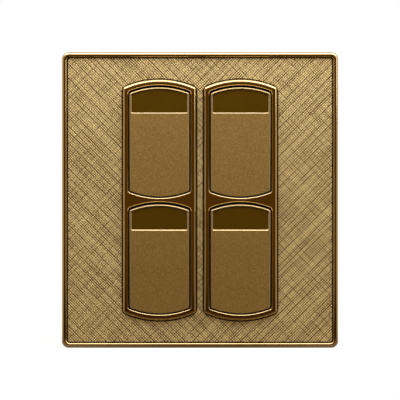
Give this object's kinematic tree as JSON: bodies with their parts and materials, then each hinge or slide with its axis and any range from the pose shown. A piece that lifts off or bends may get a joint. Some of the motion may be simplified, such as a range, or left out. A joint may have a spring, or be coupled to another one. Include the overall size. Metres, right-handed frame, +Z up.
{
  "type": "four-gang light switch",
  "caption": "Wall light switch with a hatched gold faceplate, polished arched bezels and satin rockers that tilt to throw sprung contacts in a rear housing.",
  "frame": {"origin": "middle of the two fixing slots, on the wall plane", "axes": "+X to the right seen from the room, +Y into the wall, +Z up"},
  "size_m": [0.086, 0.0294, 0.092],
  "materials": {
    "plated_frame": "polished gold plating on plastic",
    "hatched_panel": "fine crossed hatching, champagne gold",
    "polished_bezel": "polished gold plating on plastic",
    "satin_rocker": "satin metallic paint with a fine grain",
    "dark_window": "glossy tinted insert",
    "plated_steel": "zinc plated sheet",
    "dark_moulding": "fine moulded texture",
    "pale_housing": "fine moulded texture",
    "carrier_moulding": "moulded",
    "brass_plunger": "turned",
    "spring_wire": "drawn wire",
    "contact_copper": "stamped strip with silver rivets",
    "terminal_brass": "machined",
    "zinc_screws": "zinc plated"
  },
  "bodies": {
    "base": {"cover_frame": "plated_frame", "face_panel": "hatched_panel", "bezel_left": "polished_bezel", "bezel_right": "polished_bezel", "mounting_yoke": "plated_steel", "rocker_cradle": "dark_moulding", "rear_housing": "pale_housing", "housing_screws": "zinc_screws", "terminal_screws": "zinc_screws", "common_terminal_upper_left": "terminal_brass", "line_one_terminal_upper_left": "terminal_brass", "line_two_terminal_upper_left": "terminal_brass", "common_terminal_upper_right": "terminal_brass", "line_one_terminal_upper_right": "terminal_brass", "line_two_terminal_upper_right": "terminal_brass", "common_terminal_lower_left": "terminal_brass", "line_one_terminal_lower_left": "terminal_brass", "line_two_terminal_lower_left": "terminal_brass", "common_terminal_lower_right": "terminal_brass", "line_one_terminal_lower_right": "terminal_brass", "line_two_terminal_lower_right": "terminal_brass"},
    "rocker_upper_left": {"rocker_upper_left": "satin_rocker", "window_upper_left": "dark_window", "carrier_upper_left": "carrier_moulding", "spring_upper_left": "spring_wire"},
    "plunger_upper_left": {"plunger_upper_left": "brass_plunger"},
    "contact_upper_left": {"contact_upper_left": "contact_copper"},
    "rocker_upper_right": {"rocker_upper_right": "satin_rocker", "window_upper_right": "dark_window", "carrier_upper_right": "carrier_moulding", "spring_upper_right": "spring_wire"},
    "plunger_upper_right": {"plunger_upper_right": "brass_plunger"},
    "contact_upper_right": {"contact_upper_right": "contact_copper"},
    "rocker_lower_left": {"rocker_lower_left": "satin_rocker", "window_lower_left": "dark_window", "carrier_lower_left": "carrier_moulding", "spring_lower_left": "spring_wire"},
    "plunger_lower_left": {"plunger_lower_left": "brass_plunger"},
    "contact_lower_left": {"contact_lower_left": "contact_copper"},
    "rocker_lower_right": {"rocker_lower_right": "satin_rocker", "window_lower_right": "dark_window", "carrier_lower_right": "carrier_moulding", "spring_lower_right": "spring_wire"},
    "plunger_lower_right": {"plunger_lower_right": "brass_plunger"},
    "contact_lower_right": {"contact_lower_right": "contact_copper"}
  },
  "joints": [
    {"name": "rocker_press_upper_left", "type": "hinge", "parent": "base", "child": "rocker_upper_left", "pos_m": [-0.0126, -0.006, 0.01815], "axis": [1, 0, 0], "range_deg": [-7, 0]},
    {"name": "contact_tilt_upper_left", "type": "hinge", "parent": "base", "child": "contact_upper_left", "pos_m": [-0.0126, 0.00425, 0.01815], "axis": [1, 0, 0], "range_deg": [0, 20]},
    {"name": "plunger_slide_upper_left", "type": "slide", "parent": "rocker_upper_left", "child": "plunger_upper_left", "axis": [0, 0.9981, 0.061], "range_m": [-0.0006, 0], "stiffness_N_per_m": 300, "deforming": ["spring_upper_left"]},
    {"name": "rocker_press_upper_right", "type": "hinge", "parent": "base", "child": "rocker_upper_right", "pos_m": [0.0126, -0.006, 0.01815], "axis": [1, 0, 0], "range_deg": [-7, 0]},
    {"name": "contact_tilt_upper_right", "type": "hinge", "parent": "base", "child": "contact_upper_right", "pos_m": [0.0126, 0.00425, 0.01815], "axis": [1, 0, 0], "range_deg": [0, 20]},
    {"name": "plunger_slide_upper_right", "type": "slide", "parent": "rocker_upper_right", "child": "plunger_upper_right", "axis": [0, 0.9981, 0.061], "range_m": [-0.0006, 0], "stiffness_N_per_m": 300, "deforming": ["spring_upper_right"]},
    {"name": "rocker_press_lower_left", "type": "hinge", "parent": "base", "child": "rocker_lower_left", "pos_m": [-0.0126, -0.006, -0.01815], "axis": [1, 0, 0], "range_deg": [-7, 0]},
    {"name": "contact_tilt_lower_left", "type": "hinge", "parent": "base", "child": "contact_lower_left", "pos_m": [-0.0126, 0.00425, -0.01815], "axis": [1, 0, 0], "range_deg": [0, 20]},
    {"name": "plunger_slide_lower_left", "type": "slide", "parent": "rocker_lower_left", "child": "plunger_lower_left", "axis": [0, 0.9981, 0.061], "range_m": [-0.0006, 0], "stiffness_N_per_m": 300, "deforming": ["spring_lower_left"]},
    {"name": "rocker_press_lower_right", "type": "hinge", "parent": "base", "child": "rocker_lower_right", "pos_m": [0.0126, -0.006, -0.01815], "axis": [1, 0, 0], "range_deg": [-7, 0]},
    {"name": "contact_tilt_lower_right", "type": "hinge", "parent": "base", "child": "contact_lower_right", "pos_m": [0.0126, 0.00425, -0.01815], "axis": [1, 0, 0], "range_deg": [0, 20]},
    {"name": "plunger_slide_lower_right", "type": "slide", "parent": "rocker_lower_right", "child": "plunger_lower_right", "axis": [0, 0.9981, 0.061], "range_m": [-0.0006, 0], "stiffness_N_per_m": 300, "deforming": ["spring_lower_right"]}
  ],
  "couplings": [
    {"joint": "contact_tilt_upper_left", "follows": "rocker_press_upper_left", "ratio": -2.8571},
    {"joint": "contact_tilt_upper_right", "follows": "rocker_press_upper_right", "ratio": -2.8571},
    {"joint": "contact_tilt_lower_left", "follows": "rocker_press_lower_left", "ratio": -2.8571},
    {"joint": "contact_tilt_lower_right", "follows": "rocker_press_lower_right", "ratio": -2.8571}
  ]
}
